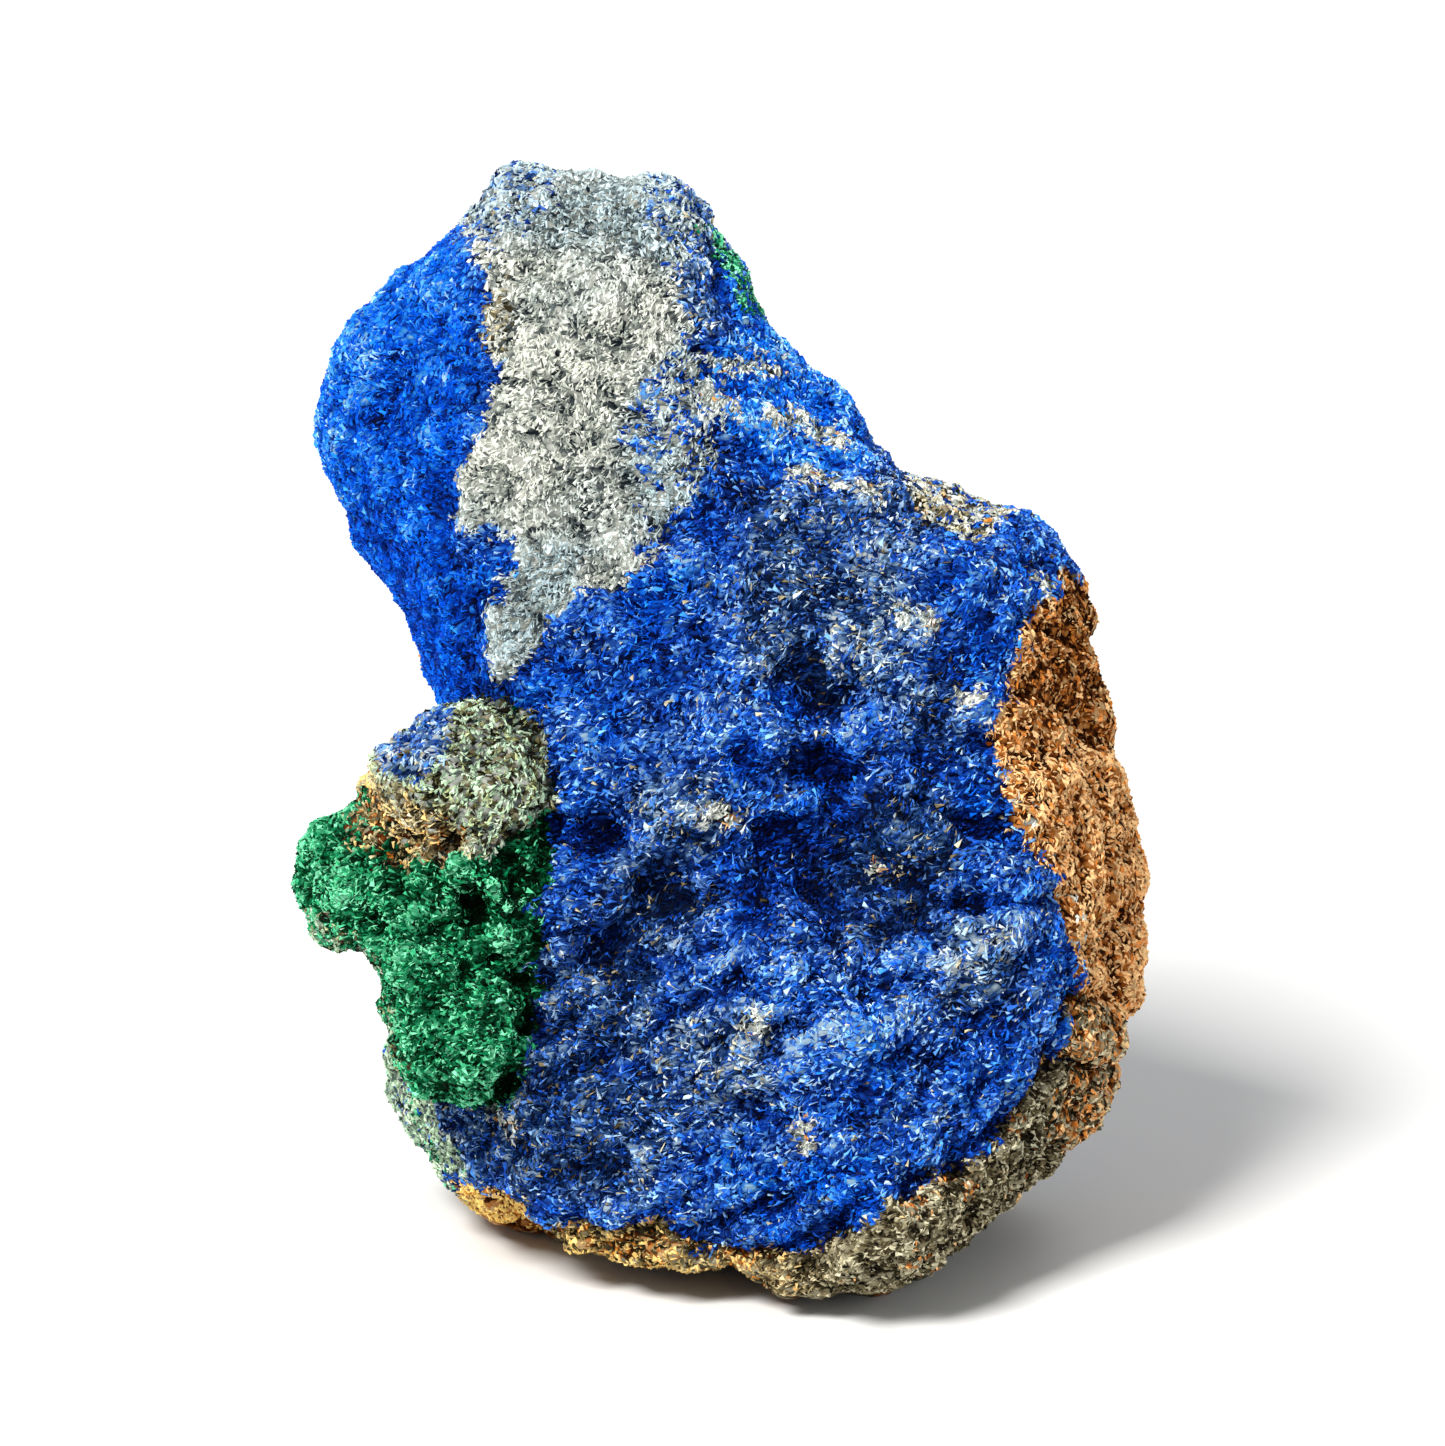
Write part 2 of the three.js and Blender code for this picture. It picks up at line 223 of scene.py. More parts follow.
SLATE_TOPS = [
    [(-14.5, 57.8), (-13.2, 55.4), (-11.0, 56.4), (-9.6, 57.6), (-8.6, 60.0), (-9.5, 66), (-16, 66)],
    [(-4.4, 60.5), (-3.4, 57.0), (-2.2, 53.5), (-1.2, 52.0), (0.4, 56.0), (1.0, 66), (-4.5, 66)],
]
STREAK_STAIN = [(-13.2, 53.8), (-11.1, 53.6), (-11.5, 51.8), (-12.0, 50.0), (-13.4, 50.2)]
STREAK_TAIL = [(-14, 40.0), (-7.5, 40.0), (-8.5, 36.2), (-12.0, 31.4), (-14.5, 33.0)]
STREAK_RIGHT = [(-6.0, 46.5), (-1.5, 52.0), (1.5, 50.5), (0.8, 44.5), (-3.5, 39.5)]
GREEN_PATCH = [(-0.9, 57.4), (0.6, 57.8), (3.4, 55.2), (3.2, 52.2), (1.8, 52.2), (0.6, 53.8)]
FLANK = [
    (19.6, 39.6), (18.4, 38.2), (17.0, 36.2), (16.2, 34.8), (15.2, 32.4), (13.9, 30.3),
    (15.3, 28.0), (15.8, 25.5), (16.8, 23.5), (18.2, 20.9), (19.2, 16.7), (18.5, 14.9),
    (17.8, 12.2), (26.0, 8.6), (30.0, 20.0), (27.0, 39.4),
]
FLANK_DARK = [
    (18.4, 39.3), (17.4, 36.2), (16.7, 34.8), (15.7, 32.6), (17.2, 31.0), (19.8, 30.1),
    (21.8, 28.7), (27.0, 28.0), (27.0, 40.0),
]
RIM = [
    (18.2, 12.6), (16.1, 10.1), (13.6, 7.7), (11.3, 6.3), (8.6, 4.8), (6.2, 3.6), (4.2, 2.3),
    (0.6, 1.9), (-3.3, 3.0), (-7.5, 3.1), (-10.4, 3.0), (-12.1, 4.4), (-13.7, 5.2),
    (-14.9, 4.4), (-14.0, -6.0), (14.0, -6.0), (24.0, 4.4), (25.9, 11.4),
]
RUSTY_SPOT = [(-14.4, 5.4), (-13.2, 5.7), (-11.7, 4.7), (-9.8, 3.3), (-10.3, 1.2), (-15.5, 2.2)]
CHUNK = [
    (18.0, 15.0), (20.8, 15.3), (22.0, 12.0), (20.8, 8.0), (18.0, 7.2), (17.4, 9.4), (18.2, 12.2),
]
LEFT_EDGE = [(-19.5, 15.5), (-17.4, 13.0), (-16.0, 10.8), (-14.8, 8.4), (-14.0, 5.6), (-20, 5)]
TAN_PATCH = [
    (10.3, 44.9), (12.1, 45.0), (14.8, 43.5), (15.5, 41.7), (14.2, 40.4), (12.8, 40.0),
    (11.4, 41.0), (10.5, 42.6),
]
CAP = [
    (-20.6, 27.9), (-19.6, 26.6), (-18.9, 25.3), (-17.1, 24.0), (-14.8, 23.4), (-12.8, 23.9),
    (-10.7, 24.0), (-8.4, 25.6), (-7.9, 28.3), (-9.3, 31.0), (-12.0, 33.2), (-18.4, 33.2),
]
CAP_BLUE = [
    (-18.9, 29.4), (-17.2, 31.2), (-15.2, 31.2), (-14.4, 29.9), (-14.6, 28.9), (-15.4, 28.0),
    (-16.5, 27.0), (-17.7, 27.3),
]
CAP_RUSTY = [
    (-21, 28), (-18.9, 28.2), (-18.2, 27.0), (-17.0, 26.1), (-15.2, 25.4), (-13.6, 24.9),
    (-13.4, 23.4), (-20, 23.2),
]
CREAMY_LOBE = [
    (-23.0, 20.0), (-20.4, 19.6), (-18.4, 17.4), (-17.6, 14.6), (-16.6, 10.8), (-15.6, 9.4),
    (-20.0, 8.0), (-23.5, 16.0),
]
DARK_PLATE = [
    (5.4, 25.2), (7.5, 27.0), (9.4, 27.6), (11.0, 26.0), (12.4, 24.6), (12.6, 21.5), (11.0, 18.8),
    (7.6, 17.8), (5.2, 16.6), (4.8, 20.0),
]
DIM_PLATE = [(-9.0, 15.5), (-5.0, 15.0), (-3.2, 10.0), (-6.0, 6.5), (-9.6, 4.4), (-13.4, 6.0)]
SLOPE = [(1.5, 53.5), (-0.6, 50.4), (0.6, 45.5), (4.5, 43.0), (9.0, 44.0), (4.0, 51.0)]
# The pale knob is lighter blue, with a painted highlight on its raised top.
PALE_KNOB = [
    (10.6, 17.2), (11.7, 18.9), (13.6, 19.7), (16.0, 19.3), (16.7, 18.2), (15.1, 16.5),
    (12.8, 15.4), (11.4, 14.3), (10.7, 15.4),
]
# Lumps of the nodule: the middle and the half sizes of each, along u, v and w. Malachite covers
# them and a skin around them, back to a depth w, and ends at an edge where they meet the plate.
NODULE_LUMPS = [
    ((-15, 20, 10.4), (4.6, 8.4, 4.6)), ((-14, 26.9, 11.5), (5.4, 4, 4.8)),
    ((-18.8, 21.6, 9.8), (4.2, 4.4, 4.6)), ((-12.2, 21.6, 12.6), (3.2, 3.8, 3.8)),
    ((-16.2, 18.4, 11.8), (3.6, 3.3, 4)), ((-14, 14, 12), (4.3, 3.7, 4.2)),
    ((-17, 13.7, 9.6), (1.8, 2.8, 3)),
]
NODULE_SKIN = 0.9
NODULE_BACK_W = 4.5
NODULE_RIGHT_EDGE = {"v": (11, 14, 17, 20, 24, 27), "u": (-10.7, -10.1, -9.5, -9.7, -9.0, -9.2)}
# Cream dashes on the blue: the line that each one follows and its half width.
DASHES = [
    ([(-0.8, 49.9), (2.6, 49.3)], 0.45), ([(3.0, 46.8), (6.0, 45.6)], 0.6),
    ([(3.8, 43.7), (5.8, 43.2)], 0.4), ([(7.4, 42.8), (8.2, 42.6)], 0.4),
    ([(-0.6, 48.0), (0.3, 47.3)], 0.4), ([(9.5, 36.1), (11.3, 35.5)], 0.45),
    ([(12.8, 31.9), (13.7, 31.6)], 0.35), ([(17.0, 38.0), (17.5, 37.7)], 0.45),
    ([(-0.7, 25.4), (0.7, 25.1)], 0.45), ([(8.0, 22.8), (8.5, 22.4)], 0.4),
    ([(1.2, 14.5), (2.0, 14.1)], 0.5), ([(4.0, 8.7), (4.6, 8.2)], 0.5),
    ([(-12.2, 9.3), (-11.4, 8.9)], 0.5), ([(-4.6, 39.0), (-3.6, 39.4)], 0.4),
    ([(14.2, 30.4), (15.5, 28.0), (15.9, 25.5), (17.0, 23.3)], 0.55),
    ([(18.6, 20.6), (19.3, 17.0)], 0.4),
]
# Round spots on the front: u, v, radius.
PALE_SPOTS = [
    (2.0, 35.5, 4.0), (-1.0, 31.0, 2.6), (8.0, 33.0, 2.6), (3.0, 12.4, 4.4), (-2.5, 9.6, 3.0),
    (7.0, 15.8, 3.4), (0.2, 18.4, 1.4), (6.0, 30.3, 1.4), (-3.0, 26.0, 1.8), (9.0, 39.5, 2.6),
    (-1.5, 12.4, 2.0), (10.0, 10.0, 2.0), (-8.0, 30.5, 1.8), (0.5, 6.8, 2.8),
]
# The deep spots lie on the pits of the plate: painted shade.
DEEP_SPOTS = [
    (4.8, 32.2, 1.5), (5.1, 28.0, 1.3), (4.2, 23.6, 2.2), (-3.3, 21.4, 1.8), (-6.7, 24.3, 0.8),
    (-5.4, 17.6, 1.6), (1.6, 21.0, 2.0), (-6.0, 20.6, 1.4), (2.0, 28.0, 1.2),
]
WEATHERED_SPOTS = [
    (5.5, 36.5, 5.0), (-2.2, 25.5, 2.6), (9.9, 23.8, 2.8), (-3.7, 20.5, 2.8), (-7.0, 16.0, 3.0),
    (-0.5, 12.6, 3.2), (-10.5, 9.5, 4.0), (4.5, 40.5, 3.0), (11.0, 31.0, 2.0), (-13.5, 9.0, 3.6),
    (-6.0, 8.0, 3.2), (8.5, 42.0, 3.0), (14.0, 17.5, 2.4),
]
LEFT_FACET = [(-26, 62), (-13.4, 58), (-12.9, 50), (-14.0, 41), (-12.8, 31), (-26, 28)]
# Creases and pits of the front: the line each one follows, its half width and its depth.
GROOVES = [
    ([(-19.2, 25.9), (-17.6, 24.2), (-15.5, 23.6), (-13.4, 24.0), (-10.9, 24.5)], 0.5, 0.3),
    ([(-18.4, 19.2), (-15.9, 19.2), (-13.3, 20.0)], 0.6, 0.5),
    ([(-13.7, 20.6), (-13.4, 19.8)], 0.65, 1.3),
    ([(-12.6, 23.3), (-11.3, 22.9), (-10.6, 21.6)], 0.9, 0.8),
    ([(-13.3, 20.0), (-10.9, 19.4), (-9.7, 20.3)], 0.6, 0.6),
    ([(-17.8, 23.8), (-17.2, 21.9)], 0.5, 0.5),
    ([(-19.8, 16.4), (-19.8, 14.0), (-18.8, 11.0)], 1.5, 1.3),
    ([(-9.2, 27.0), (-9.1, 24.0), (-9.9, 20.0), (-9.7, 17.0), (-10.3, 14.0), (-12, 10.4)], 0.5, 0.5),
    ([(17.6, 12.5), (19.5, 11.8), (22.0, 12.0)], 0.5, 0.7),
    ([(18.4, 15.6), (20.5, 15.5), (23.0, 14.2)], 0.5, 0.7),
    ([(15.6, 32.0), (18.0, 31.0), (22.0, 28.6)], 0.5, 0.35),
    ([(17.0, 35.4), (19.4, 34.4), (22.0, 34.0)], 0.5, 0.35),
    ([(4.6, 33.0), (5.2, 31.6)], 1.5, 0.6), ([(4.3, 28.2), (6.0, 27.8)], 1.2, 0.45),
    ([(3.0, 24.3), (5.0, 22.8)], 1.6, 0.4), ([(-4.2, 21.8), (-2.6, 21.0)], 1.2, 0.3),
    ([(-7.0, 24.6), (-6.2, 24.0)], 0.8, 0.25), ([(-6.0, 18.2), (-4.8, 17.0)], 1.2, 0.3),
    ([(0.6, 21.6), (2.6, 20.5)], 1.2, 0.3), ([(1.4, 28.4), (2.4, 27.2)], 1.0, 0.3),
    ([(10.4, 26.2), (12.5, 25.3), (14.6, 24.7)], 0.35, 0.7),
    ([(12.5, 20.8), (15.5, 20.6), (18.0, 20.9)], 0.4, 0.6),
    ([(-3.3, 15.3), (0.8, 16.7)], 0.8, 0.5), ([(2.6, 13.6), (6.5, 15.2), (10.4, 16.6)], 0.9, 0.8),
    ([(-12.1, 4.4), (-10.4, 2.5), (-7.5, 2.9), (-3.3, 2.9), (0.6, 1.9)], 0.6, 0.7),
    ([(0.6, 1.9), (4.2, 2.5), (6.2, 3.8), (8.6, 5.0), (11.3, 6.5), (13.6, 7.9)], 0.6, 0.6),
    ([(13.6, 7.9), (16.1, 10.1), (18.2, 12.6)], 0.6, 0.5),
]
# Forms of the front that stand out a little more: the line, the half width and the height.
SWELLINGS = [
    ([(-20.5, 50.5), (-21.8, 47.0)], 2.6, 1.1),
    ([(-15.6, 21.9), (-15.2, 21.2)], 1.5, 0.4),
    ([(4.0, 12.4), (10.5, 17.0), (15.5, 18.6)], 1.2, 0.6),
    ([(19.6, 13.8), (19.8, 13.4)], 1.3, 0.6), ([(19.2, 10.0), (18.8, 9.4)], 1.3, 0.6),
]
# Outlines have ragged bays, and stray more and more the further they run behind the front.
BAY_DEPTH = 0.9
BORDER_FLECKS = 0.35
STRAYS_BEHIND_W = 3
STRAY_PER_MM = 0.2
# The back has patches where the rust noise or the crust noise is over these, finely flecked.
RUST_OVER = 0.05
CRUST_OVER = 0.3
PATCH_FLECKS = 0.04
# Limits of what lies in part of an outline: the gold of the rim, the rust of the dashes beside
# the flank, and the deep blue of the facet.
GOLDEN_LEFT_OF_U = 3
RUSTY_RIGHT_OF_U = 13.5
RUSTY_BELOW_V = 31
DEEP_BELOW_V = 42
MINERALS = ("matrix", "tan", "limonite", "malachite")


def lie_of_minerals(places):
    """The share of each mineral but azurite at each place, and how the colours vary there."""
    true_u, true_v, w = front_view(places)
    behind = np.minimum(w - STRAYS_BEHIND_W, 0)

    def strayed(straight, bays, stray):
        """A coordinate of the front view, bent so that outlines get bays and stray behind."""
        bent = straight + BAY_DEPTH * rough(places, bays)
        return bent + STRAY_PER_MM * behind * rough(places, stray)

    u = strayed(true_u, "bays across", "stray across")
    v = strayed(true_v, "bays up", "stray up")
    fine = rough(places, "fine")
    mottle = rough(places, "mottle")
    broad = rough(places, "broad")
    rust = rough(places, "rust") - RUST_OVER + PATCH_FLECKS * fine
    crust = rough(places, "crust") - CRUST_OVER + PATCH_FLECKS * fine

    def region(outline, softness=0.5):
        return share(inside_outline(outline, u, v) + BORDER_FLECKS * fine, softness)

    def spots(spot_list, ragged, softness):
        inside = [radius - np.hypot(u - at_u, v - at_v) for at_u, at_v, radius in spot_list]
        return share(np.max(inside, axis=0) + ragged * fine, softness)

    def reach_back(depth, waves, flecks, softness):
        """1 from the front to `depth` mm behind the middle, with a wavy border."""
        return share(w + depth + waves * broad + flecks * mottle, softness)

    front = reach_back(5, 4, 0, 4)
    in_view = np.stack([true_u, true_v, w], 1) * MM
    lumps = np.max([inside_blob(at, half, in_view) for at, half in NODULE_LUMPS], axis=0)
    nodule = share(lumps + NODULE_SKIN, 0.5)
    nodule *= share(w - NODULE_BACK_W + 3 * rough(places, "nodule back"), 1.0)
    right_edge = np.interp(true_v, NODULE_RIGHT_EDGE["v"], NODULE_RIGHT_EDGE["u"])
    nodule *= share(right_edge + 0.5 * rough(places, "nodule edge") - true_u, 0.6)

    shares = {name: np.zeros(u.shape) for name in MINERALS}

    def lay(name, amount):
        """Lays an amount of one mineral over what is there, from 0 for none to 1 for all."""
        for other in shares:
            shares[other] *= 1 - amount
        if name in shares:
            shares[name] += amount

    # Patches of the back.
    lay("tan", (1 - front) * share(rust + 0.12, 0.1))
    lay("limonite", (1 - front) * share(rust, 0.12))
    lay("matrix", (1 - front) * share(mottle - 0.45, 0.3))
    lay("malachite", (1 - front) * share(crust, 0.1))

    # The streak, stained at its left edge and mixed with blue at its right edge and top.
    lay("matrix", region(STREAK) * reach_back(5, 5, 0, 4))
    stain = region(STREAK_STAIN, 1.0) * front
    lay("tan", 0.45 * stain)
    lay("azurite", 0.45 * region(STREAK_RIGHT, 2.0) * share(mottle + 0.1, 0.5))
    slate_top = np.maximum(region(SLATE_TOPS[0], 1.6), region(SLATE_TOPS[1], 1.6)) * front
    lay("azurite", 0.4 * slate_top)

    # The flank, the rim with its golden left end, the chunk where they meet, and the left edge.
    flank_there = region(FLANK, 0.4)
    lay("limonite", flank_there * reach_back(7, 8, 3, 3))
    lay("matrix", 0.6 * flank_there * share(mottle - 0.5, 0.3) * share(-w, 6))
    rim_there = region(RIM, 0.6)
    lay("tan", rim_there * reach_back(8, 5, 2, 3))
    lay("limonite", 0.35 * rim_there * share(mottle - 0.35, 0.6))
    chunk_there = region(CHUNK, 0.8)
    lay("tan", chunk_there)
    lay("limonite", 0.55 * chunk_there)
    golden_rim = region(RIM, 0.8) * share(GOLDEN_LEFT_OF_U - u, 8)
    lay("limonite", 0.45 * golden_rim)
    lay("limonite", region(RUSTY_SPOT) * front)
    left_side = region(LEFT_EDGE, 0.8) * front
    lay("matrix", 0.8 * left_side)
    lay("malachite", 0.3 * left_side * share(mottle, 0.8))

    # Cream dashes and the tan patch, rustier beside the flank, and the green patch.
    along = [half_width - distance_to_line(line, true_u, true_v) for line, half_width in DASHES]
    cream = share(np.max(along, axis=0) + 0.6 * fine + 0.1, 0.5) * front
    tan_patch = region(TAN_PATCH)
    cream = np.maximum(cream, 0.9 * tan_patch)
    by_flank = share(u - RUSTY_RIGHT_OF_U, 1.5) * share(RUSTY_BELOW_V - v, 1.5)
    lay("limonite", 0.35 * cream)
    lay("matrix", 0.6 * cream * (1 - 0.6 * by_flank))
    lay("tan", 0.35 * tan_patch)
    lay("limonite", 0.5 * cream * by_flank)
    green_patch = region(GREEN_PATCH)
    lay("malachite", 0.75 * green_patch)

    # The nodule, with a creamy edge at its left and a cap of tan, rust and blue.
    lay("malachite", nodule)
    cap = nodule * region(CAP)
    creamy = nodule * region(CREAMY_LOBE, 1.2)
    lay("tan", cap + 0.35 * creamy)
    lay("matrix", 0.55 * cap + 0.25 * creamy)
    cap_rusty = nodule * region(CAP_RUSTY, 1.2)
    lay("tan", 0.5 * cap_rusty)
    lay("limonite", 0.3 * cap_rusty)
    lay("azurite", 0.85 * nodule * region(CAP_BLUE))

    # How light, deep or weathered the blue is, and how the other minerals' colours lean. Part of
    # this is painted light and shade, in pale, deep, facet and ochre.
    # facet: the left facet, which faces the light, and the slope; the colours draw them lighter as
    # painted light.
    facet = region(LEFT_FACET, 2.0) * front
    slope = region(SLOPE, 2.0) * front
    dim = region(DIM_PLATE, 2.0)
    dark_plate = region(DARK_PLATE, 2.0)
    pale_knob = region(PALE_KNOB, 1.0)
    # pale is lighter blue, and also painted highlight on raised knobs such as the pale knob.
    pale = 0.8 * spots(PALE_SPOTS, 0.8, 1.6) + pale_knob + 0.4 * broad
    pale += slope + 0.6 * slate_top - 0.5 * dim + nodule + green_patch
    # deep is deeper blue, and also painted shade in the pits of the plate and towards the bottom of
    # the left facet.
    deep = spots(DEEP_SPOTS, 0.4, 1.4) + dark_plate + 0.7 * dim
    deep += facet * share(DEEP_BELOW_V - true_v, 10)
    bluish = region(STREAK_TOP, 1.5) + 0.8 * region(STREAK_TAIL, 1.5)
    bluish += 0.6 * region(STREAK_RIGHT, 1.5) + 0.5 * broad + 0.3 * mottle
    weathered = 0.25 + 0.75 * spots(WEATHERED_SPOTS, 0.8, 3.0) + 0.4 * mottle
    weathered += 0.4 * dark_plate + 0.3 * pale_knob + 0.3 * dim - 0.9 * slope
    weathered = weathered * (1 - facet) + 0.6 * cap + 0.8 * slate_top
    dark_flank = np.maximum(region(FLANK_DARK, 2.0), 0.6 * region(RIM, 1.0))
    dark_flank = np.maximum(dark_flank, 0.7 * region(CHUNK, 1.0))
    ochre = np.maximum(np.maximum(region(RUSTY_SPOT), 0.8 * golden_rim), 0.5 * cap_rusty)

    # Where two minerals mix, the one with the larger share takes more than its share.
    odds = {name: share(amount - 0.5, 1.0) for name, amount in shares.items()}
    odds["azurite"] = share(0.5 - sum(shares.values()), 1.0)
    all_odds = sum(odds.values())
    return {name: odds[name] / all_odds for name in MINERALS}, {
        "pale": np.clip(pale * front, 0, 1) * (1 - facet),
        "deep": np.clip(deep * front, 0, 1),
        "weathered": np.clip(weathered, 0, 1),
        "facet": np.maximum(facet, slope),
        "mottle": np.clip(mottle, -1, 1),
        "bluish": np.clip(bluish, 0, 1) * (1 - cap),
        # Less dark where ochre lies: painted light on the down-facing yellow spot, golden rim and
        # rusty cap.
        "dark_flank": dark_flank - 0.8 * ochre,
        "ochre": ochre,
        "sandy": np.maximum(np.maximum(cap_rusty, stain), 0.6 * tan_patch),
        "olive": np.maximum(np.maximum(cap - cap_rusty, creamy), left_side),
        "nodule": nodule,
        "rim": region(RIM, 1.0),
    }


# Relief: round knobs with creases between them, finer and lower level by level, soft lumps,
# slanting ridges on the lower half of the plate and ledges on the flank, grooves and swellings.
# Heights are in mm for each kind of ground.
KNOBS = [
    {"size": 4.6, "plate": 0.6, "nodule": 0.5, "streak": 0.4, "flank": 0.4, "rim": 0.5},
    {"size": 2.2, "plate": 0.45, "nodule": 0.6, "streak": 0.36, "flank": 0.3, "rim": 0.8},
    {"size": 1.1, "plate": 0.22, "nodule": 0.45, "streak": 0.2, "flank": 0.25, "rim": 0.45},
]
LUMPS = {"size": 1.9, "plate": 1.1, "nodule": 1.0, "streak": 1.3, "flank": 1.4, "rim": 1.5}
RIDGES = [
    {"ground": "ridged", "size": 1.5, "height": 0.9, "turn": math.radians(35)},
    {"ground": "ledged", "size": 1.3, "height": 0.6, "turn": math.radians(-65)},
]
RIDGE_STRETCH = (3.6, 1.4, 1)
RIDGES_BELOW_V = 20
LEDGES_RIGHT_OF_U = 12
KNOB_MIDDLE = 0.3
LUMP_MIDDLE = 0.5
DEEPEST_GROOVE = 2.0
GROOVE_SOFTNESS = 1.6
HIGHEST_SWELLING = 1.5
SWELLING_SOFTNESS = 2
EDGE_WAVES = 0.35
# Where the forms of the front end towards the back: the depth w of the border and its width.
FRONT_ENDS = {"ridged": (4, 6), "ledged": (-8, 8), "grooved": (2, 4), "swollen": (-10, 8)}
WEIGHT_STEPS = 32
shares, tones = lie_of_minerals(vertex_places(stone.data))
nodule = tones["nodule"]
rim = tones["rim"] * (1 - nodule)
streak = shares["matrix"] * (1 - nodule) * (1 - rim)
flank = (shares["limonite"] + shares["tan"]) * (1 - nodule) * (1 - rim)
plate = np.clip(1 - nodule - rim - streak - flank, 0, 1) * (1 - 0.2 * tones["facet"])
view_u, view_v, view_w = front_view(vertex_places(stone.data))
wavy = EDGE_WAVES * rough(vertex_places(stone.data), "groove edge")
before = {name: share(view_w - at, width) for name, (at, width) in FRONT_ENDS.items()}


def along_lines(forms, softness):
    """The greatest depth or height of forms along lines, whose borders are soft, in mm."""
    amounts = []
    for line, half_width, most in forms:
        inside = half_width - distance_to_line(line, view_u, view_v) + wavy
        amounts.append(most * share(inside, softness * half_width))
    return np.max(amounts, axis=0)


grooved = along_lines(GROOVES, GROOVE_SOFTNESS) / DEEPEST_GROOVE
swollen = along_lines(SWELLINGS, SWELLING_SOFTNESS) / HIGHEST_SWELLING
grounds = {
    "plate": plate, "nodule": nodule, "streak": streak, "flank": flank, "rim": rim,
    "ridged": plate * share(RIDGES_BELOW_V - view_v, 12) * before["ridged"],
    "ledged": flank * share(view_u - LEDGES_RIGHT_OF_U, 3) * before["ledged"],
    "grooved": grooved * before["grooved"],
    "swollen": swollen * before["swollen"],
}
for name, amounts in grounds.items():
    group = stone.vertex_groups.new(name=name)
    steps = np.round(np.clip(amounts, 0, 1) * WEIGHT_STEPS).astype(int)
    for step in range(1, WEIGHT_STEPS + 1):
        group.add(np.flatnonzero(steps == step).tolist(), step / WEIGHT_STEPS, "REPLACE")
apply_modifier(
    stone, "DISPLACE", strength=-DEEPEST_GROOVE * MM, mid_level=0.0, vertex_group="grooved",
)
apply_modifier(
    stone, "DISPLACE", strength=HIGHEST_SWELLING * MM, mid_level=0.0, vertex_group="swollen",
)


def knob_texture(size):
    knobs = bpy.data.textures.new("knobs", "VORONOI")
    knobs.distance_metric = "DISTANCE_SQUARED"
    knobs.noise_scale = size * MM
    return knobs


lumps = bpy.data.textures.new("lumps", "CLOUDS")
lumps.noise_scale = LUMPS["size"] * MM
lumps.noise_depth = 3
for ground_name in ("plate", "nodule", "streak", "flank", "rim"):
    for level in KNOBS:
        apply_modifier(
            stone, "DISPLACE", texture=knob_texture(level["size"]), texture_coords="LOCAL",
            mid_level=KNOB_MIDDLE, strength=-level[ground_name] * MM, vertex_group=ground_name,
        )
    apply_modifier(
        stone, "DISPLACE", texture=lumps, texture_coords="LOCAL", mid_level=LUMP_MIDDLE,
        strength=LUMPS[ground_name] * MM, vertex_group=ground_name,
    )
for ridges in RIDGES:
    slant = bpy.data.objects.new("slant", None)
    slant.rotation_euler = (0, -ridges["turn"], 0)
    slant.scale = RIDGE_STRETCH
    bpy.context.collection.objects.link(slant)
    bpy.context.view_layer.update()
    apply_modifier(
        stone, "DISPLACE", texture=knob_texture(ridges["size"]), texture_coords="OBJECT",
        texture_coords_object=slant, mid_level=KNOB_MIDDLE, strength=-ridges["height"] * MM,
        vertex_group=ridges["ground"],
    )
    bpy.data.objects.remove(slant)
apply_modifier(stone, "SMOOTH", factor=SMOOTHING, iterations=1)
stone.vertex_groups.clear()

# Nothing reaches below the ground.
places = vertex_places(stone.data)
places[:, 2] = np.maximum(places[:, 2], 0)
stone.data.vertices.foreach_set("co", places.ravel())
stone.data.update()

# How far each point stands out of the ground around it, in mm: of the broad forms, and of the
# small creases. The more steps of spreading, the wider the ground that is looked at.
NORMAL_STEPS = 15
BROAD_STEPS = 54
CREASE_STEPS = 6
MOST_RELIEF = 1.2
MOST_CREASE = 0.3
edges = np.empty(len(stone.data.edges) * 2, int)
stone.data.edges.foreach_get("vertices", edges)
ends = edges.reshape(-1, 2)
neighbours = np.bincount(ends.ravel(), minlength=len(places))


def spread(values, steps):
    """Values per vertex, averaged with their neighbours' again and again."""
    for _ in range(steps):
        sums = np.bincount(ends[:, 0], values[ends[:, 1]], len(values))
        sums += np.bincount(ends[:, 1], values[ends[:, 0]], len(values))
        values = sums / neighbours
    return values


def stands_out(steps):
    evened = np.stack([spread(places[:, axis], steps) for axis in range(3)], 1)
    return ((places - evened) * smooth_normals).sum(1) / MM


normals = vertex_normals(stone.data)
smooth_normals = np.stack([spread(normals[:, axis], NORMAL_STEPS) for axis in range(3)], 1)
smooth_normals /= np.linalg.norm(smooth_normals, axis=1)[:, None]
# relief and crease are painted into the colours below as light and shade: raised forms drawn
# lighter, hollows and creases darker.
tones["relief"] = np.clip(stands_out(BROAD_STEPS), -MOST_RELIEF, MOST_RELIEF)
tones["crease"] = np.clip(stands_out(CREASE_STEPS), -MOST_CREASE, MOST_CREASE)


def keep_on_mesh(mesh, name, values):
    attribute = mesh.attributes.new(name, "FLOAT", "POINT")
    attribute.data.foreach_set("value", np.asarray(values, np.float32))


for name, values in {**shares, **tones}.items():
    keep_on_mesh(stone.data, name, values)


def add_node(tree, kind, inputs=None, **settings):
    """A node with its settings. An input is a value, or the output of another node."""
    new = tree.nodes.new("ShaderNode" + kind)
    for key, value in settings.items():
        setattr(new, key, value)
    for key, value in (inputs or {}).items():
        if isinstance(value, bpy.types.NodeSocket):
            tree.links.new(value, new.inputs[key])
        else:
            new.inputs[key].default_value = value
    return new


